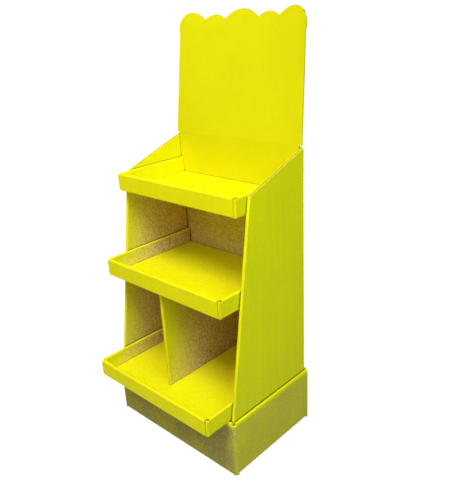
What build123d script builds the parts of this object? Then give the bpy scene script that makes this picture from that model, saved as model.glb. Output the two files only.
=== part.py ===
"""Floor display stand of corrugated card: header, body, three trays, divider, plinth and its ribs.

Sizes are millimetres. The origin is the centre of the plinth's underside, +Z is up, the front faces -Y
and +X is the right-hand side of somebody who looks at the front.
Every piece is one sheet of board, folded: a wall is a strip of board swept along its fold path, and a
doubled wall is a strip that turns back on itself.
"""
from build123d import *
from math import atan2, cos, sin
import os

# Board
PLY = 5.0                    # thickness of the corrugated board
FOLD_GAP = 1.0               # air left between the two plies of a rolled edge
SIDE_GAP = 2.0               # air left between the two plies of the body's sides
FOLD_RADIUS = 2.9            # radius of a fold at the middle of the ply
FIT = 0.5                    # play between cards that slide into each other

# Plinth
PLINTH_WIDTH = 600.0
PLINTH_DEPTH = 408.0
PLINTH_HEIGHT = 208.0
PLINTH_CORNER_RADIUS = 14.0  # soft outside corner of the plinth's wall
ROLL_NOTCH = 14.0            # how far a rolled top edge stops short of the plinth's corner
DUST_FLAP = 140.0            # length of the bottom flaps on the plinth's ends
BACK_FLAP = 80.0             # length of the glue flap at the foot of the plinth's back
FLAP_PLAY = 2.0              # space between neighbouring bottom flaps

# Body
SIDE_TOP_DEPTH = 266.0       # depth of a side panel where its sloping top edge starts
SLOPE_FRONT_Z = 925.0
SLOPE_BACK_Z = 1020.0

# Trays, from the bottom one up
LIP_HEIGHT = 61.0
TRAY_UNDERSIDES = {"bottom_tray": PLINTH_HEIGHT, "middle_tray": 581.0, "top_tray": 871.0}
TRAY_REACHES = {"bottom_tray": 491.0, "middle_tray": 405.0, "top_tray": 316.0}
CORNER_FLAP = 60.0           # length of the flaps that close a tray's front corners
LUG_LENGTH = 60.0
LUG_MARGIN = 40.0            # board left between a lug's slot and the edge of the side panel
LUG_PLAY = 1.0

# Divider
DIVIDER_X = -22.0            # its middle, a little left of the stand's middle
DIVIDER_GAP = 4.0            # air between its two plies
DIVIDER_SETBACK = 22.0       # from the middle tray's front to the divider's fold
TAB_LENGTH = 50.0
TAB_MARGIN = 70.0

# Header
HEADER_INSET = 2.5           # how far the header's sides stand in from the body's
HEADER_TONGUE = 250.0        # length of the tongue below the crease
CREASE_RISE = 6.0            # from the top of the body's back to the crease
CUSP_HEIGHT = 381.0          # crease to the notches between the lobes
LEFT_LEAN = 55.0             # how far the card has gone back at the height of the notches
MIDDLE_LEAN = 65.0
RIGHT_LEAN = 20.0
INNER_CUSP_X = 76.0
OUTER_CUSP_X = 171.0
MIDDLE_LOBE_RISE = 29.0
SMALL_LOBE_RISE = 16.0
END_LOBE_RISE = 27.0
END_LOBE_BULGE = 3.5         # how far the end lobes stand out past the header's straight sides
END_LOBE_RADIUS = 52.0

# Ribs in the plinth
CROSS_RIB_X = 140.0

# Sizes that follow
WALL = 2 * PLY + FOLD_GAP                              # a rolled wall of the plinth or of a tray
SIDE_WALL = 2 * PLY + SIDE_GAP                         # a doubled side of the body
HOLLOW_WALL = 3 * PLY + FIT                            # a doubled wall that holds a corner flap
BODY_WIDTH = PLINTH_WIDTH - 2 * (WALL + FIT)
BODY_DEPTH = PLINTH_DEPTH - 2 * (WALL + FIT)
BODY_BACK_Y = BODY_DEPTH / 2
BODY_FRONT_Y = -BODY_DEPTH / 2
BODY_FOOT_Z = 2 * PLY + FIT                            # on top of the plinth's two layers of flaps
BACK_INSIDE_Y = BODY_BACK_Y - PLY
RAKE_TOP_Y = BODY_BACK_Y - SIDE_TOP_DEPTH
HEADER_WIDTH = BODY_WIDTH - 2 * HEADER_INSET
TRAY_WIDTH = BODY_WIDTH - 2 * (SIDE_WALL + FIT)
TONGUE_BACK_Y = BACK_INSIDE_Y - FIT
TONGUE_FRONT_Y = TONGUE_BACK_Y - PLY
LUG_REACH = FIT + PLY + SIDE_GAP / 2                   # through the side's inner ply


def tray_front_y(name):
    """Front face of a tray."""
    return BODY_BACK_Y - TRAY_REACHES[name]


def tray_back_y(name):
    """Back face of a tray: the top tray stands in front of the header's tongue."""
    return TONGUE_FRONT_Y - FIT if name == "top_tray" else BACK_INSIDE_Y - FIT


def side_front_y(z):
    """Front edge of the body's side panels at height z."""
    share = (z - PLINTH_HEIGHT) / (SLOPE_FRONT_Z - PLINTH_HEIGHT)
    return BODY_FRONT_Y + share * (RAKE_TOP_Y - BODY_FRONT_Y)


def slope_z(y):
    """Top edge of the body's side panels at depth y."""
    share = (BODY_BACK_Y - y) / SIDE_TOP_DEPTH
    return SLOPE_BACK_Z - share * (SLOPE_BACK_Z - SLOPE_FRONT_Z)


def lug_middles(name):
    """Where a tray's two lugs on each side have their middle, along Y."""
    half = LUG_LENGTH / 2 + LUG_MARGIN
    front = side_front_y(TRAY_UNDERSIDES[name]) + half
    return front, BACK_INSIDE_Y - half


def folded_strip(points, width, across):
    """A strip of board folded along a path through the middle of its ply."""
    path = FilletPolyline(*points, radius=FOLD_RADIUS)
    section = Plane(origin=path @ 0, x_dir=across, z_dir=path % 0) * Rectangle(width, PLY)
    return sweep(section, path=path)


def panel(low, high):
    """A flat piece of board between two corners."""
    size = [b - a for a, b in zip(low, high)]
    middle = [(a + b) / 2 for a, b in zip(low, high)]
    return Pos(*middle) * Box(*size)


def both_sides(shape):
    """The shape and its mirror image on the other side of the stand."""
    return shape + mirror(shape, about=Plane.YZ)


def one_solid(shape, name):
    """The piece's single solid: a folded sheet never falls apart."""
    solids = shape.solids()
    if len(solids) != 1:
        raise ValueError(f"{name} has {len(solids)} solids")
    return solids[0]


def make_plinth_tray():
    """Wrapped wall with soft corners, rolled top edges and a flat bottom of flaps."""
    half_x = PLINTH_WIDTH / 2
    half_y = PLINTH_DEPTH / 2
    wall_foot = PLY + FIT
    flap_z = wall_foot + PLY / 2
    ring_foot = flap_z + 2 * FOLD_RADIUS
    roll_start = PLINTH_HEIGHT - PLY / 2 - 2 * FOLD_RADIUS
    long_side = PLINTH_WIDTH - 2 * ROLL_NOTCH
    short_side = PLINTH_DEPTH - 2 * ROLL_NOTCH
    ring = RectangleRounded(PLINTH_WIDTH, PLINTH_DEPTH, PLINTH_CORNER_RADIUS)
    ring -= RectangleRounded(PLINTH_WIDTH - 2 * PLY, PLINTH_DEPTH - 2 * PLY, PLINTH_CORNER_RADIUS - PLY)
    corners = ring - Rectangle(long_side, 2 * PLINTH_DEPTH) - Rectangle(2 * PLINTH_WIDTH, short_side)
    tray = Pos(0, 0, ring_foot) * extrude(ring, roll_start - ring_foot)
    tray += extrude(corners, ring_foot)

    def rolled_edge(half_depth, length):
        """Rolled top edge and inner ply of a wall that faces -Y."""
        outer = -half_depth + PLY / 2
        inner = outer + PLY + FOLD_GAP
        top = PLINTH_HEIGHT - PLY / 2
        points = [(0, outer, roll_start), (0, outer, top), (0, inner, top), (0, inner, BODY_FOOT_Z)]
        return folded_strip(points, length, (1, 0, 0))

    def bottom_flap(half_depth, length, width, z):
        """Foot of a wall that faces -Y, and the flap that turns in from it."""
        outer = -half_depth + PLY / 2
        points = [(0, outer, ring_foot), (0, outer, z), (0, -half_depth + length, z)]
        return folded_strip(points, width, (1, 0, 0))

    for turn in (0, 180):
        tray += Rot(0, 0, turn) * rolled_edge(half_y, long_side)
    for turn in (90, -90):
        tray += Rot(0, 0, turn) * rolled_edge(half_x, short_side)
        tray += Rot(0, 0, turn) * bottom_flap(half_x, DUST_FLAP, short_side, flap_z)
    back_flap_width = PLINTH_WIDTH - 2 * (DUST_FLAP + FLAP_PLAY)
    tray += Rot(0, 0, 180) * bottom_flap(half_y, BACK_FLAP, back_flap_width, flap_z)
    foot_low = (back_flap_width / 2, half_y - PLY, wall_foot)
    foot_high = (long_side / 2, half_y, ring_foot)
    tray += both_sides(panel(foot_low, foot_high))
    tray += bottom_flap(half_y, PLINTH_DEPTH - FIT, long_side, PLY / 2)
    return tray


def make_side_panel():
    """The right side panel: two plies, folded over along the raked front edge."""
    outer_x = BODY_WIDTH / 2 - PLY / 2
    inner_x = outer_x - PLY - SIDE_GAP
    panel_back = BACK_INSIDE_Y - FIT
    behind = BODY_DEPTH + SIDE_TOP_DEPTH
    ahead = BODY_FRONT_Y - SIDE_WALL
    rake = Vector(0, RAKE_TOP_Y - BODY_FRONT_Y, SLOPE_FRONT_Z - PLINTH_HEIGHT).normalized()

    def hairpin(up):
        """The doubled panel behind a front edge that runs along up through the plinth's top."""
        plane = Plane(origin=(0, BODY_FRONT_Y, PLINTH_HEIGHT), x_dir=(1, 0, 0), z_dir=up)
        turns = [(outer_x, behind), (outer_x, PLY / 2), (inner_x, PLY / 2), (inner_x, behind)]
        path = [plane.from_local_coords(Vector(x, y, 0)) for x, y in turns]
        return folded_strip(path, 2 * SLOPE_BACK_Z, up)

    def mitre(y):
        """Height where the upright part of the panel meets the raked part, so that the folds match."""
        return PLINTH_HEIGHT - (y - BODY_FRONT_Y) * rake.Y / (1 + rake.Z)

    def between(outline):
        """Everything on the right-hand side within an outline drawn in Y and Z."""
        return extrude(Plane.YZ * make_face(Polyline(*outline, close=True)), BODY_WIDTH)

    foot_outline = [(ahead, BODY_FOOT_Z), (panel_back, BODY_FOOT_Z),
                    (panel_back, mitre(panel_back)), (ahead, mitre(ahead))]
    raked_outline = [(ahead, mitre(ahead)), (panel_back, mitre(panel_back)),
                     (panel_back, slope_z(panel_back)), (ahead, slope_z(ahead))]
    return (hairpin((0, 0, 1)) & between(foot_outline)) + (hairpin(rake) & between(raked_outline))


def make_body_shell():
    """Back panel and doubled sides, wrapped from one sheet, with slots for the trays' lugs."""
    side_x = BODY_WIDTH / 2 - PLY / 2
    back_y = BODY_BACK_Y - PLY / 2
    wrap_y = back_y - 3 * WALL
    middle_z = (BODY_FOOT_Z + SLOPE_BACK_Z) / 2
    turns = [(-side_x, wrap_y, middle_z), (-side_x, back_y, middle_z),
             (side_x, back_y, middle_z), (side_x, wrap_y, middle_z)]
    back = folded_strip(turns, SLOPE_BACK_Z - BODY_FOOT_Z, (0, 0, 1))
    over_y = BODY_BACK_Y + WALL
    above_slope = [(over_y, slope_z(over_y)), (over_y, 2 * SLOPE_BACK_Z),
                   (wrap_y - WALL, 2 * SLOPE_BACK_Z), (wrap_y - WALL, slope_z(wrap_y - WALL))]
    back -= extrude(Plane.YZ * make_face(Polyline(*above_slope, close=True)), BODY_WIDTH, both=True)
    body = back + both_sides(make_side_panel())
    inner_face = TRAY_WIDTH / 2 + FIT
    for name, underside in TRAY_UNDERSIDES.items():
        for middle in lug_middles(name):
            half = LUG_LENGTH / 2 + LUG_PLAY
            low = (inner_face - FIT, middle - half, underside)
            high = (inner_face + PLY + SIDE_GAP / 2, middle + half, underside + PLY + 2 * FIT)
            body -= both_sides(panel(low, high))
    return body


def make_tray(name):
    """A tray with rolled side and front walls, flaps inside its front corners and lugs on its sides."""
    front = tray_front_y(name)
    back = tray_back_y(name)
    floor_z = PLY / 2
    top_z = LIP_HEIGHT - PLY / 2
    inner_foot = PLY + FIT
    side_x = TRAY_WIDTH / 2 - PLY / 2
    inner_x = side_x - PLY - FOLD_GAP
    flap_top = top_z - FOLD_RADIUS
    flap_y = front + PLY + FIT / 2 + PLY / 2
    roll_front = front + HOLLOW_WALL + FIT
    front_width = 2 * (inner_x - PLY / 2 - FIT)

    turns = [(-inner_x, inner_foot), (-inner_x, top_z), (-side_x, top_z), (-side_x, floor_z),
             (side_x, floor_z), (side_x, top_z), (inner_x, top_z), (inner_x, inner_foot)]
    roll_middle = (roll_front + back) / 2
    tray = folded_strip([(x, roll_middle, z) for x, z in turns], back - roll_front, (0, 1, 0))

    ends_front = flap_y - PLY / 2
    turns = [(-side_x, flap_top), (-side_x, floor_z), (side_x, floor_z), (side_x, flap_top)]
    ends_middle = (ends_front + roll_front) / 2
    tray += folded_strip([(x, ends_middle, z) for x, z in turns], roll_front - ends_front, (0, 1, 0))

    flap_middle = (inner_foot + flap_top) / 2
    turns = [(side_x - CORNER_FLAP, flap_y), (side_x, flap_y), (side_x, roll_front + WALL)]
    corner_path = [(x, y, flap_middle) for x, y in turns]
    tray += both_sides(folded_strip(corner_path, flap_top - inner_foot, (0, 0, 1)))

    outer_y = front + PLY / 2
    inner_y = front + HOLLOW_WALL - PLY / 2
    turns = [(inner_y, inner_foot), (inner_y, top_z), (outer_y, top_z), (outer_y, floor_z),
             (roll_front + WALL, floor_z)]
    tray += folded_strip([(0, y, z) for y, z in turns], front_width, (1, 0, 0))

    for middle in lug_middles(name):
        y_low = middle - LUG_LENGTH / 2
        y_high = middle + LUG_LENGTH / 2
        window = panel((side_x - PLY / 2, y_low, PLY), (side_x + PLY, y_high, PLY + LUG_REACH))
        tray -= both_sides(window)
        lug = panel((side_x - PLY, y_low, 0), (TRAY_WIDTH / 2 + LUG_REACH, y_high, PLY))
        tray += both_sides(lug)
    tray = Pos(0, 0, TRAY_UNDERSIDES[name]) * tray
    if name == "bottom_tray":
        for middle in divider_tab_middles():
            half = TAB_LENGTH / 2 + FIT
            low_x, high_x = divider_faces()
            floor = TRAY_UNDERSIDES[name]
            slot_low = (low_x - FIT, middle - half, floor - PLY)
            slot_high = (high_x + FIT, middle + half, floor + 2 * PLY)
            tray -= panel(slot_low, slot_high)
    return tray


def divider_faces():
    """Left and right face of the divider."""
    half = PLY + DIVIDER_GAP / 2
    return DIVIDER_X - half, DIVIDER_X + half


def divider_ends():
    """Front and back end of the divider: it stops at the body's back."""
    return tray_front_y("middle_tray") + DIVIDER_SETBACK, BACK_INSIDE_Y - FIT


def divider_tab_middles():
    """Where the divider's two tabs have their middle, along Y."""
    front, back = divider_ends()
    margin = TAB_MARGIN + TAB_LENGTH / 2
    return front + margin, back - margin


def make_divider():
    """A doubled panel with its fold at the front and tabs that go through the tray's floor."""
    low_x, high_x = divider_faces()
    front, back = divider_ends()
    floor = TRAY_UNDERSIDES["bottom_tray"]
    top = TRAY_UNDERSIDES["middle_tray"]
    middle_z = (floor + top) / 2
    turns = [(low_x + PLY / 2, back), (low_x + PLY / 2, front + PLY / 2),
             (high_x - PLY / 2, front + PLY / 2), (high_x - PLY / 2, back)]
    divider = folded_strip([(x, y, middle_z) for x, y in turns], top - floor, (0, 0, 1))
    first, last = divider_tab_middles()
    half = TAB_LENGTH / 2
    for start, end in ((front, first - half), (first + half, last - half), (last + half, back)):
        divider -= panel((low_x, start, floor), (high_x, end, floor + PLY))
    return divider


def header_outline():
    """Outline of the header seen from the front, in X and height above the crease."""
    half = HEADER_WIDTH / 2
    apex_x = half + END_LOBE_BULGE - END_LOBE_RADIUS
    apex_height = CUSP_HEIGHT + END_LOBE_RISE
    neck_rise = (END_LOBE_RADIUS ** 2 - (half - apex_x) ** 2) ** 0.5
    neck = (half, apex_height - END_LOBE_RADIUS - neck_rise)
    side_point = (half + END_LOBE_BULGE, apex_height - END_LOBE_RADIUS)
    outer_cusp = (OUTER_CUSP_X, CUSP_HEIGHT)
    inner_cusp = (INNER_CUSP_X, CUSP_HEIGHT)
    small_top = ((OUTER_CUSP_X + INNER_CUSP_X) / 2, CUSP_HEIGHT + SMALL_LOBE_RISE)
    middle_top = (0, CUSP_HEIGHT + MIDDLE_LOBE_RISE)

    def other(point):
        return (-point[0], point[1])

    apex = (apex_x, apex_height)
    along = apex_x - OUTER_CUSP_X
    inner_radius = (along ** 2 + END_LOBE_RISE ** 2) / (2 * END_LOBE_RISE)
    turn = atan2(along, inner_radius - END_LOBE_RISE) / 2
    shoulder = (apex_x - inner_radius * sin(turn), apex_height - inner_radius * (1 - cos(turn)))
    right = [Line((half, 0), neck), ThreePointArc(neck, side_point, apex),
             ThreePointArc(apex, shoulder, outer_cusp), ThreePointArc(outer_cusp, small_top, inner_cusp)]
    left = [Line((-half, 0), other(neck)), ThreePointArc(other(neck), other(side_point), other(apex)),
            ThreePointArc(other(apex), other(shoulder), other(outer_cusp)),
            ThreePointArc(other(outer_cusp), other(small_top), other(inner_cusp))]
    middle = ThreePointArc(inner_cusp, middle_top, other(inner_cusp))
    return make_face(right + left + [middle, Line((-half, 0), (half, 0))])


def make_header_card():
    """Lobed card that leans back from a crease and bows, with a tongue between the top tray and the back."""
    crease_z = slope_z(BODY_BACK_Y) + CREASE_RISE
    reach = CUSP_HEIGHT + max(MIDDLE_LOBE_RISE, SMALL_LOBE_RISE, END_LOBE_RISE) + PLY
    half = HEADER_WIDTH / 2 + END_LOBE_BULGE + PLY
    leans = [lean * reach / CUSP_HEIGHT for lean in (LEFT_LEAN, MIDDLE_LEAN, RIGHT_LEAN)]

    def card_section(left, middle, right, z):
        """Section of the bowed card at height z, from how far it has gone back at three places."""

        def bow(y):
            return ThreePointArc((-half, y + left), (0, y + middle), (half, y + right))

        front = bow(TONGUE_FRONT_Y)
        back = bow(TONGUE_BACK_Y)
        ends = [Line(front @ 0, back @ 0), Line(front @ 1, back @ 1)]
        return Pos(0, 0, z) * make_face([front, back] + ends)

    crease = panel((-half, TONGUE_FRONT_Y, crease_z - PLY), (half, TONGUE_BACK_Y, crease_z))
    foot = crease.faces().sort_by(Axis.Z)[-1]
    bowed = loft([foot, card_section(*leans, crease_z + reach).face()], ruled=True)
    upright = Plane(origin=(0, BODY_BACK_Y + 2 * max(leans), crease_z), x_dir=(1, 0, 0), z_dir=(0, -1, 0))
    card = bowed & extrude(upright * header_outline(), BODY_DEPTH)
    tongue_half = TRAY_WIDTH / 2
    tongue_foot = (-tongue_half, TONGUE_FRONT_Y, crease_z - HEADER_TONGUE)
    return card + panel(tongue_foot, (tongue_half, TONGUE_BACK_Y, crease_z))


def make_long_rib():
    """Rib across the plinth, between the body's sides, slotted from below for the cross ribs."""
    half = TRAY_WIDTH / 2
    rib = panel((-half, -PLY / 2, BODY_FOOT_Z), (half, PLY / 2, PLINTH_HEIGHT))
    lap_z = (BODY_FOOT_Z + PLINTH_HEIGHT) / 2
    for x in (-CROSS_RIB_X, CROSS_RIB_X):
        slot = PLY / 2 + FIT / 2
        rib -= panel((x - slot, -PLY, 0), (x + slot, PLY, lap_z + FIT / 2))
    return rib


def make_cross_rib(x):
    """Rib from the plinth's front to the body's back, slotted from above for the long rib."""
    rib = panel((x - PLY / 2, BODY_FRONT_Y, BODY_FOOT_Z), (x + PLY / 2, BACK_INSIDE_Y - FIT, PLINTH_HEIGHT))
    lap_z = (BODY_FOOT_Z + PLINTH_HEIGHT) / 2
    slot = PLY / 2 + FIT / 2
    return rib - panel((x - PLY, -slot, lap_z - FIT / 2), (x + PLY, slot, PLINTH_HEIGHT))


os.makedirs("parts", exist_ok=True)
pieces = {
    "plinth_tray": make_plinth_tray(),
    "body_shell": make_body_shell(),
    "divider": make_divider(),
    "header_card": make_header_card(),
    "base_rib_long": make_long_rib(),
    "base_rib_cross_left": make_cross_rib(-CROSS_RIB_X),
    "base_rib_cross_right": make_cross_rib(CROSS_RIB_X),
}
for tray_name in TRAY_UNDERSIDES:
    pieces[tray_name] = make_tray(tray_name)
for piece_name, piece in pieces.items():
    export_step(one_solid(piece, piece_name), f"parts/{piece_name}.step")
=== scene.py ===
# %% [markdown]
# # A yellow card display stand, dressed for its picture
#
# The real stand is corrugated board, printed yellow on both faces and folded up flat sheet by flat sheet.
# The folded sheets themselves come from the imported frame, at their real size. This script gives them their
# ink and paper, with the ribs, folds, shade and dirt of a stand in use, and sets the studio round them.

# %% Load the folded sheets
import bmesh
import bpy
from math import cos, pi, radians, sin
from mathutils import Matrix, Vector

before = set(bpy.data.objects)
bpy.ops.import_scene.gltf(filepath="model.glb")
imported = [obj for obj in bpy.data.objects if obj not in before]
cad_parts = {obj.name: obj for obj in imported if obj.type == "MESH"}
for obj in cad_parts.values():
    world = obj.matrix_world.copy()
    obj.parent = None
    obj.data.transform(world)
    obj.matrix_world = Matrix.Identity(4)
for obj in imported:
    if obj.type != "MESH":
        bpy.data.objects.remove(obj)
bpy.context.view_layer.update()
print("sheets of board:", sorted(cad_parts))

# %% [markdown]
# ## The camera
#
# The picture was taken from the front right, a little above the top tray. Vertical edges lean and converge
# downwards, so the lens is a moderate one and the camera is rolled by a few degrees. A camera could be aimed
# with a constraint, but its three angles say the same thing and leave the roll where a reader can see it.

# %% Camera at the picture's viewpoint
CAMERA_PLACE = Vector((1.3173, -1.2386, 1.3915))
CAMERA_AZIMUTH = radians(44.023)
CAMERA_ELEVATION = radians(21.541)
CAMERA_ROLL = radians(-3.156)
CAMERA_LENS = 41.15
SENSOR = 36.0

forward = Vector((-sin(CAMERA_AZIMUTH) * cos(CAMERA_ELEVATION),
                  cos(CAMERA_AZIMUTH) * cos(CAMERA_ELEVATION),
                  -sin(CAMERA_ELEVATION)))
level_right = Vector((cos(CAMERA_AZIMUTH), sin(CAMERA_AZIMUTH), 0))
level_up = level_right.cross(forward)
right = cos(CAMERA_ROLL) * level_right + sin(CAMERA_ROLL) * level_up
up = cos(CAMERA_ROLL) * level_up - sin(CAMERA_ROLL) * level_right

camera_data = bpy.data.cameras.new("picture_camera")
camera_data.sensor_width = SENSOR
camera_data.lens = CAMERA_LENS
camera = bpy.data.objects.new("picture_camera", camera_data)
turn = Matrix((right, up, -forward)).transposed().to_4x4()
camera.matrix_world = Matrix.Translation(CAMERA_PLACE) @ turn
bpy.context.scene.collection.objects.link(camera)
bpy.context.scene.camera = camera
bpy.context.scene.view_settings.view_transform = "Standard"
print("camera stands", round(CAMERA_PLACE.length, 2), "m from the foot of the stand")

# %% [markdown]
# ## Small helpers for shader nodes
#
# Each look is built from a few groups with named sockets, so that one group can be read, and used again in
# another board, by itself. Nodes can be wired one by one, but the same few steps come back in every group:
# a sum, a smooth step, a blend, a noise. Each is a helper that takes numbers or sockets and gives a socket.

# %% Helpers that make trees and groups


def node_tree(material):
    """The material's node tree, emptied, and its output node."""
    material.use_nodes = True
    tree = material.node_tree
    tree.nodes.clear()
    output = tree.nodes.new("ShaderNodeOutputMaterial")
    return tree, output


def shader_group(name, inputs, outputs):
    """An empty shader group with its named sockets, as tree, input node and output node."""
    tree = bpy.data.node_groups.new(name, "ShaderNodeTree")
    for socket_name, kind, value in inputs:
        socket = tree.interface.new_socket(socket_name, in_out="INPUT", socket_type=kind)
        socket.default_value = value
    for socket_name in outputs:
        tree.interface.new_socket(socket_name, in_out="OUTPUT", socket_type="NodeSocketFloat")
    return tree, tree.nodes.new("NodeGroupInput"), tree.nodes.new("NodeGroupOutput")


def use_group(tree, group):
    """The group as a node in a tree."""
    node = tree.nodes.new("ShaderNodeGroup")
    node.node_tree = group
    return node


print("tree helpers are ready")

# %% Helpers that make single nodes


def feed(tree, socket, value):
    """Gives an input a number, a tuple or another node's output."""
    if isinstance(value, (int, float, tuple)):
        socket.default_value = value
    else:
        tree.links.new(value, socket)


def value_node(tree, operation, *values):
    """A math node, as its output."""
    node = tree.nodes.new("ShaderNodeMath")
    node.operation = operation
    for socket, value in zip(node.inputs, values):
        feed(tree, socket, value)
    return node.outputs["Value"]


def vector_node(tree, operation, *values):
    """A vector math node with its two vectors, ready for its output to be picked."""
    node = tree.nodes.new("ShaderNodeVectorMath")
    node.operation = operation
    for socket, value in zip(node.inputs, values):
        feed(tree, socket, value)
    return node


def ramp_node(tree, value, low, high, to_low=0.0, to_high=1.0):
    """A smooth step from low to high, as its output."""
    node = tree.nodes.new("ShaderNodeMapRange")
    node.interpolation_type = "SMOOTHSTEP"
    feed(tree, node.inputs["Value"], value)
    feed(tree, node.inputs["From Min"], low)
    feed(tree, node.inputs["From Max"], high)
    feed(tree, node.inputs["To Min"], to_low)
    feed(tree, node.inputs["To Max"], to_high)
    return node.outputs["Result"]


def blend_node(tree, share, first, second):
    """A mix of two colours, as its output."""
    node = tree.nodes.new("ShaderNodeMix")
    node.data_type = "RGBA"
    share_socket, first_socket, second_socket = node.inputs[0], node.inputs[6], node.inputs[7]
    feed(tree, share_socket, share)
    feed(tree, first_socket, first)
    feed(tree, second_socket, second)
    return node.outputs[2]


def noise_node(tree, place, scale, detail):
    """Noise at a place, as its grey output."""
    node = tree.nodes.new("ShaderNodeTexNoise")
    feed(tree, node.inputs["Vector"], place)
    feed(tree, node.inputs["Scale"], scale)
    feed(tree, node.inputs["Detail"], detail)
    return node.outputs["Fac"]


def axes_of(tree, kind):
    """X, Y and Z of a point's place on the stand, "Object", or of the way that it faces, "Normal"."""
    split = tree.nodes.new("ShaderNodeSeparateXYZ")
    feed(tree, split.inputs["Vector"], tree.nodes.new("ShaderNodeTexCoord").outputs[kind])
    return split.outputs


def facing_share(tree, axis):
    """How far a face looks along one axis of the stand, either way, as its output."""
    return value_node(tree, "ABSOLUTE", axes_of(tree, "Normal")[axis])


print("node helpers are ready")

# %% [markdown]
# ## Floor and backdrop
#
# A seamless studio sweep is one sheet of paper that curves up behind the subject. A curved strip would do for
# one viewpoint, but the stand is looked at from all round, so the sweep is a big disc whose rim rises: half a
# profile, spun about the middle.

# %% Seamless sweep
SWEEP_RADIUS = 9.0
SWEEP_HEIGHT = 7.0
SWEEP_BEND = SWEEP_HEIGHT / 2    # radius of the curve from floor to wall
BEND_STEPS = 12
SPIN_STEPS = 48
CENTRE_HOLE = 0.01               # radius of the hole that the spin leaves in the middle
CENTRE_REACH = 0.1


def new_object(name, mesh):
    """Turns a bmesh into a linked object whose place is in its mesh."""
    data = bpy.data.meshes.new(name)
    mesh.to_mesh(data)
    mesh.free()
    made = bpy.data.objects.new(name, data)
    bpy.context.scene.collection.objects.link(made)
    return made


def make_sweep():
    """A round floor whose rim curves up into a wall."""
    mesh = bmesh.new()
    flat_reach = SWEEP_RADIUS - SWEEP_BEND
    profile = [mesh.verts.new((CENTRE_HOLE, 0, 0)), mesh.verts.new((flat_reach, 0, 0))]
    for step in range(1, BEND_STEPS + 1):
        angle = pi / 2 * step / BEND_STEPS
        out = flat_reach + SWEEP_BEND * sin(angle)
        profile.append(mesh.verts.new((out, 0, SWEEP_BEND - SWEEP_BEND * cos(angle))))
    profile.append(mesh.verts.new((SWEEP_RADIUS, 0, SWEEP_HEIGHT)))
    edges = [mesh.edges.new(pair) for pair in zip(profile, profile[1:])]
    bmesh.ops.spin(mesh, geom=profile + edges, cent=(0, 0, 0), axis=(0, 0, 1), angle=2 * pi,
                   steps=SPIN_STEPS, use_merge=True, use_duplicate=False)
    hole = [edge for edge in mesh.edges
            if edge.is_boundary and edge.verts[0].co.xy.length < CENTRE_REACH]
    bmesh.ops.holes_fill(mesh, edges=hole)
    bmesh.ops.recalc_face_normals(mesh, faces=mesh.faces[:])
    for face in mesh.faces:
        face.smooth = True
    made = new_object("sweep", mesh)
    return made


sweep = make_sweep()
print("sweep has", len(sweep.data.polygons), "faces")

# %% [markdown]
# ## White paper
#
# Retouchers whiten a backdrop until only a pale shadow is left at the foot of the subject. More light would do
# it, but would bleach the board as well, so the paper gives the camera a light of its own instead, stronger
# away from the stand. The board doesn't see that glow: it is lit by the paper's plain colour alone.

# %% White paper for the sweep
SWEEP_COLOUR = (0.55, 0.55, 0.55, 1)
GLOW_COLOUR = (1, 1, 1, 1)
FLOOR_GLOW = 0.80
WALL_GLOW = 1.0
GLOW_NEAR = 0.9
GLOW_FAR = 2.4


def sweep_paper():
    """Pale paper that gives the camera a little light of its own."""
    material = bpy.data.materials.new("sweep_paper")
    tree, output = node_tree(material)
    paper = tree.nodes.new("ShaderNodeBsdfDiffuse")
    paper.inputs["Color"].default_value = SWEEP_COLOUR
    glow = tree.nodes.new("ShaderNodeEmission")
    glow.inputs["Color"].default_value = GLOW_COLOUR
    place = tree.nodes.new("ShaderNodeTexCoord").outputs["Object"]
    away = vector_node(tree, "LENGTH", place).outputs["Value"]
    rising = ramp_node(tree, away, GLOW_NEAR, GLOW_FAR, FLOOR_GLOW, WALL_GLOW)
    seen = tree.nodes.new("ShaderNodeLightPath").outputs["Is Camera Ray"]
    feed(tree, glow.inputs["Strength"], value_node(tree, "MULTIPLY", seen, rising))
    both = tree.nodes.new("ShaderNodeAddShader")
    tree.links.new(paper.outputs["BSDF"], both.inputs[0])
    tree.links.new(glow.outputs["Emission"], both.inputs[1])
    tree.links.new(both.outputs["Shader"], output.inputs["Surface"])
    return material


sweep.data.materials.append(sweep_paper())
print("paper glows from", FLOOR_GLOW, "at the stand to", WALL_GLOW, "beyond", GLOW_FAR, "m")

# %% [markdown]
# ## Studio light
#
# Floors are the brightest parts of the stand, the upright lips come next and the plinth's front stays in the
# bottom tray's shadow. One big lamp high in front does all that, with a small one below it for the lips. A
# weaker one from the right is slightly cyan, because the side that faces it is a cooler, greener yellow, one
# from the left opens the shadows, and one behind keeps the back readable in other views. An even white world
# would light the insides of the compartments too, which are brown and dim in the picture, so it is left
# nearly black.

# %% Lamps and world
LAMPS = {
    "key_light": {"place": (0.4, -2.1, 4.6), "aim": (0.0, 0.0, 0.6), "size": 1.5,
                  "power": 134.0, "colour": (1.0, 0.99, 0.90)},
    "front_light": {"place": (0.6, -2.5, 3.0), "aim": (0.0, 0.0, 0.9), "size": 1.4,
                    "power": 22.0, "colour": (0.96, 1.0, 0.90)},
    "back_light": {"place": (-1.6, 3.2, 2.8), "aim": (0.0, 0.2, 0.8), "size": 2.0,
                   "power": 60.0, "colour": (1.0, 1.0, 0.95)},
    "side_light": {"place": (2.2, -0.7, 2.3), "aim": (0.2, 0.0, 0.8), "size": 1.2,
                   "power": 38.0, "colour": (0.76, 1.0, 0.90)},
    "left_light": {"place": (-1.8, -2.2, 2.4), "aim": (0.0, 0.0, 0.9), "size": 1.6,
                   "power": 9.0, "colour": (1.0, 0.95, 0.90)},
}
WORLD_COLOUR = (1.0, 1.0, 1.0, 1)
WORLD_STRENGTH = 0.02


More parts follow.
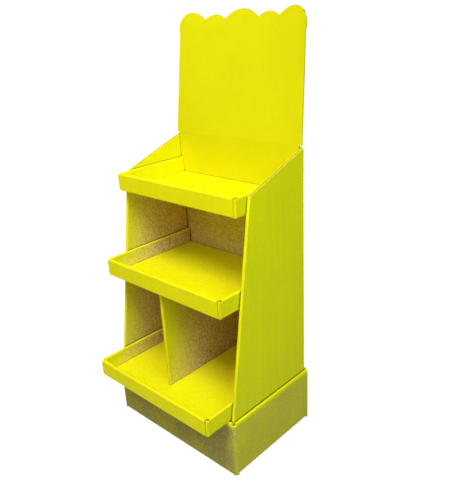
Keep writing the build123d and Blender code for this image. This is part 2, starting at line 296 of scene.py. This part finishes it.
def soft_box(name, place, aim, size, power, colour):
    """Sets up a square area lamp that faces its aim."""
    data = bpy.data.lights.new(name, "AREA")
    data.shape = "SQUARE"
    data.size = size
    data.energy = power
    data.color = colour
    lamp = bpy.data.objects.new(name, data)
    facing = (Vector(aim) - Vector(place)).to_track_quat("-Z", "Y")
    lamp.matrix_world = Matrix.Translation(place) @ facing.to_matrix().to_4x4()
    bpy.context.scene.collection.objects.link(lamp)


for name, settings in LAMPS.items():
    soft_box(name, **settings)
    print(name, "gives", settings["power"], "W")
world = bpy.data.worlds.new("even_studio")
world.use_nodes = True
world.node_tree.nodes["Background"].inputs["Color"].default_value = WORLD_COLOUR
world.node_tree.nodes["Background"].inputs["Strength"].default_value = WORLD_STRENGTH
bpy.context.scene.world = world

# %% [markdown]
# ## Ribs of the corrugated board
#
# Corrugated board is a wave of paper between two liners. The wave shows through the liner as fine upright
# ribs, about 7.5 mm apart. They could be modelled, but they are a twentieth of a millimetre high, so a sine
# across each panel is enough: across X on panels that face front, back or up, across Y on the others.

# %% Group for the ribs
FLUTE_PITCH = 0.0075
SIDEWAYS_SHARE = 0.5             # a panel whose normal has more X than this faces sideways


def flute_group():
    """Ribs of the corrugated medium, from 0 in the hollows to 1 on the crests."""
    tree, given, result = shader_group("flute_ribs", [("Pitch", "NodeSocketFloat", FLUTE_PITCH)],
                                       ["Height"])
    place = axes_of(tree, "Object")
    sideways = value_node(tree, "GREATER_THAN", facing_share(tree, "X"), SIDEWAYS_SHARE)
    step = value_node(tree, "SUBTRACT", place["Y"], place["X"])
    along = value_node(tree, "MULTIPLY_ADD", step, sideways, place["X"])
    turns = value_node(tree, "DIVIDE", along, given.outputs["Pitch"])
    wave = value_node(tree, "SINE", value_node(tree, "MULTIPLY", turns, 2 * pi))
    feed(tree, result.inputs["Height"], value_node(tree, "MULTIPLY_ADD", wave, 0.5, 0.5))
    return tree


groups = {"ribs": flute_group()}
print("ribs stand", FLUTE_PITCH * 1000, "mm apart")

# %% [markdown]
# ## Grain of the ink
#
# Ink printed on a liner is mottled by the paper's fibres, uneven in broad patches and faintly streaked along
# the press. An image of real card could carry all three, but it would repeat over so tall a stand, so each is
# a noise of its own size, and the streaks are a noise stretched upwards.

# %% Group for the grain
FINE_SCALE = 180.0
PATCH_SCALE = 7.0
FINE_DETAIL = 3.0
PATCH_DETAIL = 4.0
STREAK_STRETCH = (60.0, 60.0, 3.0)
STREAK_DETAIL = 3.0
NOISE_LOW = 0.3                  # most of a noise lies between these two greys
NOISE_HIGH = 0.7


def grain_group():
    """Fine mottle of the ink, broad uneven patches and upright streaks, all from 0 to 1."""
    tree, given, result = shader_group("ink_grain", [("Fine Scale", "NodeSocketFloat", FINE_SCALE)],
                                       ["Grain", "Patches", "Streaks"])
    place = tree.nodes.new("ShaderNodeTexCoord").outputs["Object"]
    stretch = tree.nodes.new("ShaderNodeMapping")
    stretch.inputs["Scale"].default_value = STREAK_STRETCH
    feed(tree, stretch.inputs["Vector"], place)
    noises = {
        "Grain": noise_node(tree, place, given.outputs["Fine Scale"], FINE_DETAIL),
        "Patches": noise_node(tree, place, PATCH_SCALE, PATCH_DETAIL),
        "Streaks": noise_node(tree, stretch.outputs["Vector"], 1.0, STREAK_DETAIL),
    }
    for name, noise in noises.items():
        feed(tree, result.inputs[name], ramp_node(tree, noise, NOISE_LOW, NOISE_HIGH))
    return tree


groups["grain"] = grain_group()
print("grain is made of", len(groups["grain"].nodes), "nodes")

# %% [markdown]
# ## Shelter
#
# The ink looks darker and browner where panels shut the light in. Part of that is bounced light, which the
# renderer does, and the rest is painted shade, which this mask gives the ink. It could be painted sheet by
# sheet, but a few values give it for all of them: how shut in a point is, and how far it lies behind the raked
# front. It leaves out the floors, which catch the light, and all from the top tray up. A second, short reach
# finds the gaps, which get painted shade too.

# %% Group for shelter and gaps
SHELTER_REACH = 0.6
FRONT_RAKE = 0.166               # how far the front goes back for each metre of height
SHELTER_START = -0.287
SHELTER_FULL = -0.090
SHELTER_TOP = 0.87
SHUT_LOW = 0.55
SHUT_HIGH = 0.92
FLOOR_CLEARANCE = -0.97          # how much of the mask a level face loses
GAP_REACH = 0.008
GAP_LOW = 0.28
GAP_HIGH = 0.62
OCCLUSION_SAMPLES = 8


def shut_in(tree, reach):
    """How shut in a point is within a reach, from 0 to 1, as its output."""
    node = tree.nodes.new("ShaderNodeAmbientOcclusion")
    node.samples = OCCLUSION_SAMPLES
    feed(tree, node.inputs["Distance"], reach)
    return value_node(tree, "SUBTRACT", 1.0, node.outputs["AO"])


def shelter_group():
    """How deep in the shade of a compartment a point lies, and how close it is to a gap, as masks for painted
    shade.
    """
    tree, given, result = shader_group("shelter", [("Reach", "NodeSocketFloat", SHELTER_REACH),
                                                   ("Rake", "NodeSocketFloat", FRONT_RAKE),
                                                   ("Start", "NodeSocketFloat", SHELTER_START),
                                                   ("Full", "NodeSocketFloat", SHELTER_FULL),
                                                   ("Top", "NodeSocketFloat", SHELTER_TOP)],
                                       ["Shelter", "Corner"])
    shut = ramp_node(tree, shut_in(tree, given.outputs["Reach"]), SHUT_LOW, SHUT_HIGH)
    place = axes_of(tree, "Object")
    raked = value_node(tree, "MULTIPLY", place["Z"], given.outputs["Rake"])
    deep = tree.nodes.new("ShaderNodeMapRange")
    feed(tree, deep.inputs["Value"], value_node(tree, "SUBTRACT", place["Y"], raked))
    feed(tree, deep.inputs["From Min"], given.outputs["Start"])
    feed(tree, deep.inputs["From Max"], given.outputs["Full"])
    roofed = value_node(tree, "LESS_THAN", place["Z"], given.outputs["Top"])
    upright = value_node(tree, "MULTIPLY_ADD", facing_share(tree, "Z"), FLOOR_CLEARANCE, 1.0)
    shade = value_node(tree, "MULTIPLY", value_node(tree, "MULTIPLY", shut, roofed), upright)
    feed(tree, result.inputs["Shelter"], value_node(tree, "MULTIPLY", shade, deep.outputs["Result"]))
    feed(tree, result.inputs["Corner"], ramp_node(tree, shut_in(tree, GAP_REACH), GAP_LOW, GAP_HIGH))
    return tree


groups["shelter"] = shelter_group()
print("shelter is made of", len(groups["shelter"].nodes), "nodes")

# %% [markdown]
# ## Folds, cut edges and the seam at the back
#
# A fold stretches the ink and makes it paler, and the paler ink also paints the highlight of a rounded fold. A
# cut edge shows the straw-coloured paper inside, with painted shade in its flute hollows, and the sides' inner
# plies stop just short of the back panel, which leaves a thin dark line of painted shade. A designer could
# mark each face by hand, but the normals say it already: a fold's normal lies along no axis, and a cut edge
# faces the way that its sheet was cut.

# %% Groups for folds, cut edges and the back seam
FLAT_SHARE = 0.97                # share of a normal that lies along one axis on a flat face
FOLD_END = 0.86                  # the part of that share at which a fold shows in full
CUT_LEAST = 0.7
SEAM_START = 0.1840
SEAM_INSIDE = 0.280
SEAM_FACING = 0.7


def fold_group():
    """Rounded folds: the places whose normal is not along any axis of the stand."""
    tree, given, result = shader_group("folds", [("Sharpness", "NodeSocketFloat", FLAT_SHARE)], ["Fold"])
    facing = axes_of(tree, "Normal")
    largest = value_node(tree, "ABSOLUTE", facing["X"])
    for axis in ("Y", "Z"):
        largest = value_node(tree, "MAXIMUM", largest, value_node(tree, "ABSOLUTE", facing[axis]))
    flat = value_node(tree, "DIVIDE", largest, given.outputs["Sharpness"])
    feed(tree, result.inputs["Fold"], ramp_node(tree, flat, FOLD_END, 1.0, 1.0, 0.0))
    return tree


def cut_edge_group():
    """Mask of the faces that look along the given share of X, Y and Z: the raw edges of a sheet."""
    tree, given, result = shader_group("cut_edge", [("Along", "NodeSocketVector", (0.0, 0.0, 1.0)),
                                                    ("Least", "NodeSocketFloat", CUT_LEAST)],
                                       ["Edge"])
    facing = tree.nodes.new("ShaderNodeTexCoord").outputs["Normal"]
    squares = vector_node(tree, "MULTIPLY", facing, facing).outputs["Vector"]
    share = vector_node(tree, "DOT_PRODUCT", squares, given.outputs["Along"]).outputs["Value"]
    limit = value_node(tree, "MULTIPLY", given.outputs["Least"], given.outputs["Least"])
    feed(tree, result.inputs["Edge"], value_node(tree, "GREATER_THAN", share, limit))
    return tree


def back_seam_group():
    """Mask of the narrow gap where the sides' inner plies stop at the back, for a dark line of painted shade.
    """
    tree, given, result = shader_group("back_seam", [("Start", "NodeSocketFloat", SEAM_START),
                                                     ("Inside", "NodeSocketFloat", SEAM_INSIDE)],
                                       ["Seam"])
    place = axes_of(tree, "Object")
    across = value_node(tree, "ABSOLUTE", place["X"])
    behind = value_node(tree, "GREATER_THAN", place["Y"], given.outputs["Start"])
    inside = value_node(tree, "LESS_THAN", across, given.outputs["Inside"])
    sideways = value_node(tree, "GREATER_THAN", facing_share(tree, "X"), SEAM_FACING)
    both = value_node(tree, "MULTIPLY", behind, inside)
    feed(tree, result.inputs["Seam"], value_node(tree, "MULTIPLY", both, sideways))
    return tree


groups["folds"] = fold_group()
groups["cut"] = cut_edge_group()
groups["seam"] = back_seam_group()
print("groups:", sorted(groups))

# %% [markdown]
# ## Yellow board
#
# Bright ink covers both faces of every sheet. From the bottom up the paint is ink, browner with painted shade
# where sheltered and paler on folds, which also paints their highlight, then bare paper on cut edges with
# painted shade in its flute hollows, then painted shade near the floor, which is only strong on the plinth,
# and last painted shade in the gaps. One plain yellow would look like plastic, so grain, patches and streaks
# change the tone, and ribs and grain give a slight relief.

# %% Colours of the yellow board
INK = (0.87, 0.79, 0.0015, 1)
PAINTED_SHADE_INK = (0.76, 0.53, 0.36, 1)
FOLD_HIGHLIGHT_INK = (0.93, 0.86, 0.01, 1)
PAINTED_LOW_SHADE = (0.27, 0.205, 0.10, 1)
GAP_SHADE = (0.10, 0.065, 0.02, 1)
CUT_PAPER = (0.86, 0.74, 0.04, 1)
CUT_HOLLOW_SHADE = (0.70, 0.57, 0.03, 1)
FOLD_SHARE = 0.6
HOLLOW_LOW = 0.25
HOLLOW_HIGH = 0.75
LIGHTEST_LOW_SHADE = 0.75             # share of the painted low shade that is left on its lightest patches


def printed_paint(tree, used):
    """Ink on the faces and bare paper on the cut edges, as the colour output."""
    # Painted shade: browner ink deep in the compartments, under the tray above.
    ink = blend_node(tree, used["shelter"].outputs["Shelter"], INK, PAINTED_SHADE_INK)
    creased = value_node(tree, "MULTIPLY", used["folds"].outputs["Fold"], FOLD_SHARE)
    # Paler ink on folds: stretched ink and a painted highlight.
    ink = blend_node(tree, creased, ink, FOLD_HIGHLIGHT_INK)
    hollow = ramp_node(tree, used["ribs"].outputs["Height"], HOLLOW_LOW, HOLLOW_HIGH)
    # Painted shade in the flute hollows of the cut edges.
    paper = blend_node(tree, hollow, CUT_PAPER, CUT_HOLLOW_SHADE)
    return blend_node(tree, used["cut"].outputs["Edge"], ink, paper)


def low_shade_mask(tree, used, top, fade, share, front_share):
    """Painted shade low down: most at the floor, none above its top, as its output."""
    low_down = ramp_node(tree, axes_of(tree, "Object")["Z"], top * (1 - fade), top, 1.0, 0.0)
    uneven = ramp_node(tree, used["grain"].outputs["Patches"], 0.0, 1.0, LIGHTEST_LOW_SHADE, 1.0)
    front_weighted = value_node(tree, "MULTIPLY_ADD", facing_share(tree, "Y"), front_share, share)
    return value_node(tree, "MULTIPLY", value_node(tree, "MULTIPLY", low_down, uneven), front_weighted)


print("paint is ready")

# %% Tone, relief and shine of the yellow board
LOW_SHADE_MOTTLE = 0.7              # how far the painted low shade raises the mottling, against the other painted shade
SHADE_MOTTLE = 0.65               # mottling that full painted shade adds
PATCH_DEPTH = 0.03
RIB_HEIGHT = 0.00006
GRAIN_HEIGHT = 0.00003
INK_ROUGHNESS = 0.58
INK_SPECULAR = 0.08


def swing(tree, noise, depth):
    """A noise turned about zero and scaled to its depth, as its output."""
    return value_node(tree, "MULTIPLY", value_node(tree, "SUBTRACT", noise, 0.5), depth)


def uneven_tone(tree, used, low_shade, tone, mottling, streaks):
    """Brightness of the board from place to place, with deeper mottling where shade is painted, as its output.
    """
    low_shade_part = value_node(tree, "MULTIPLY", low_shade, LOW_SHADE_MOTTLE)
    shaded = value_node(tree, "MAXIMUM", used["shelter"].outputs["Shelter"], low_shade_part)
    depth = value_node(tree, "MULTIPLY_ADD", shaded, SHADE_MOTTLE, mottling)
    mottle = swing(tree, used["grain"].outputs["Grain"], depth)
    streak = swing(tree, used["grain"].outputs["Streaks"], streaks)
    patch = swing(tree, used["grain"].outputs["Patches"], PATCH_DEPTH)
    fine = value_node(tree, "ADD", mottle, streak)
    return value_node(tree, "ADD", fine, value_node(tree, "ADD", patch, tone))


def board_relief(tree, used):
    """Ribs and grain in metres, turned into a normal, as its output."""
    relief = value_node(tree, "MULTIPLY", used["ribs"].outputs["Height"], RIB_HEIGHT)
    relief = value_node(tree, "MULTIPLY_ADD", used["grain"].outputs["Grain"], GRAIN_HEIGHT, relief)
    bump = tree.nodes.new("ShaderNodeBump")
    bump.inputs["Distance"].default_value = 1.0
    feed(tree, bump.inputs["Height"], relief)
    return bump.outputs["Normal"]


def yellow_board(name, cut_along=(0.0, 0.0, 0.0), low_shade_top=0.30, low_shade_fade=0.6, low_shade_share=0.10,
                 front_low_shade=0.0, gap_share=0.85, tone=1.0, mottling=0.09, streaks=0.03):
    """Printed board whose cut edges look along the given axes, with painted shade up to a height."""
    material = bpy.data.materials.new(name)
    tree, output = node_tree(material)
    used = {key: use_group(tree, group) for key, group in groups.items()}
    used["cut"].inputs["Along"].default_value = cut_along

    # Painted shade, darker towards the floor and strongest on the plinth's front under the bottom tray.
    low_shade = low_shade_mask(tree, used, low_shade_top, low_shade_fade, low_shade_share, front_low_shade)
    in_gap = value_node(tree, "MULTIPLY", used["shelter"].outputs["Corner"], gap_share)
    paint = blend_node(tree, low_shade, printed_paint(tree, used), PAINTED_LOW_SHADE)
    # Painted shade in the gaps and corners, then along the back seam.
    paint = blend_node(tree, in_gap, paint, GAP_SHADE)
    paint = blend_node(tree, used["seam"].outputs["Seam"], paint, GAP_SHADE)

    toned = vector_node(tree, "SCALE", paint)
    feed(tree, toned.inputs["Scale"], uneven_tone(tree, used, low_shade, tone, mottling, streaks))

    shader = tree.nodes.new("ShaderNodeBsdfPrincipled")
    shader.inputs["Roughness"].default_value = INK_ROUGHNESS
    shader.inputs["Specular IOR Level"].default_value = INK_SPECULAR
    feed(tree, shader.inputs["Base Color"], toned.outputs["Vector"])
    feed(tree, shader.inputs["Normal"], board_relief(tree, used))
    tree.links.new(shader.outputs["BSDF"], output.inputs["Surface"])
    return material


print("ribs rise", RIB_HEIGHT * 1000, "mm and grain", GRAIN_HEIGHT * 1000, "mm")

# %% [markdown]
# ## Plain board
#
# The ribs inside the plinth are seen by nobody who buys from the stand, so their board is left unprinted:
# brown kraft paper, with the same flutes and fibres. It could be the yellow board in other colours, but it
# needs none of its dirt, folds or cut edges, so it is a short material of its own.

# %% Kraft board
KRAFT_DARK = (0.30, 0.17, 0.065, 1)
KRAFT_LIGHT = (0.37, 0.22, 0.09, 1)
KRAFT_ROUGHNESS = 0.75


def kraft_board():
    """Plain brown board for the ribs inside the plinth."""
    material = bpy.data.materials.new("kraft_board")
    tree, output = node_tree(material)
    grain = use_group(tree, groups["grain"]).outputs["Grain"]
    bump = tree.nodes.new("ShaderNodeBump")
    bump.inputs["Distance"].default_value = RIB_HEIGHT
    feed(tree, bump.inputs["Height"], use_group(tree, groups["ribs"]).outputs["Height"])
    shader = tree.nodes.new("ShaderNodeBsdfPrincipled")
    shader.inputs["Roughness"].default_value = KRAFT_ROUGHNESS
    feed(tree, shader.inputs["Base Color"], blend_node(tree, grain, KRAFT_DARK, KRAFT_LIGHT))
    feed(tree, shader.inputs["Normal"], bump.outputs["Normal"])
    tree.links.new(shader.outputs["BSDF"], output.inputs["Surface"])
    return material


kraft = kraft_board()
print("ribs take", kraft.name)

# %% [markdown]
# ## Each sheet gets its board
#
# All the yellow sheets come from one print run, but they don't look alike: the header is smooth and a shade
# deeper, the plinth gets painted shade low down all round and most at its front, and the bottom tray gets
# little of it because its floor faces the light. The bottom tray's lighter tone and the divider's darker one
# paint in how each is lit. One material could do this with masks, but a board for each is easier to read
# and to change.

# %% Boards for the sheets
boards = {
    "header_card": yellow_board("header_board", cut_along=(1.0, 0.0, 1.0), low_shade_share=0.0, tone=0.86,
                                mottling=0.03, streaks=0.008),
    "body_shell": yellow_board("body_board", cut_along=(0.0, 0.0, 1.0), low_shade_top=0.45),
    "plinth_tray": yellow_board("plinth_board", low_shade_top=0.203, low_shade_fade=0.08, low_shade_share=0.46,
                                front_low_shade=0.34, gap_share=0.30),
    "top_tray": yellow_board("top_board", low_shade_share=0.0, gap_share=0.50, mottling=0.04),
    # The bottom tray's lighter tone and the divider's darker one are painted light and shade.
    "bottom_tray": yellow_board("bottom_board", low_shade_share=0.06, tone=1.04),
    "divider": yellow_board("divider_board", low_shade_share=0.12, tone=0.93),
}
tray_board = yellow_board("tray_board", low_shade_share=0.12)
for name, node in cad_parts.items():
    board = kraft if name.startswith("base_rib") else boards.get(name, tray_board)
    node.data.materials.clear()
    node.data.materials.append(board)
    print(name, "takes", board.name)
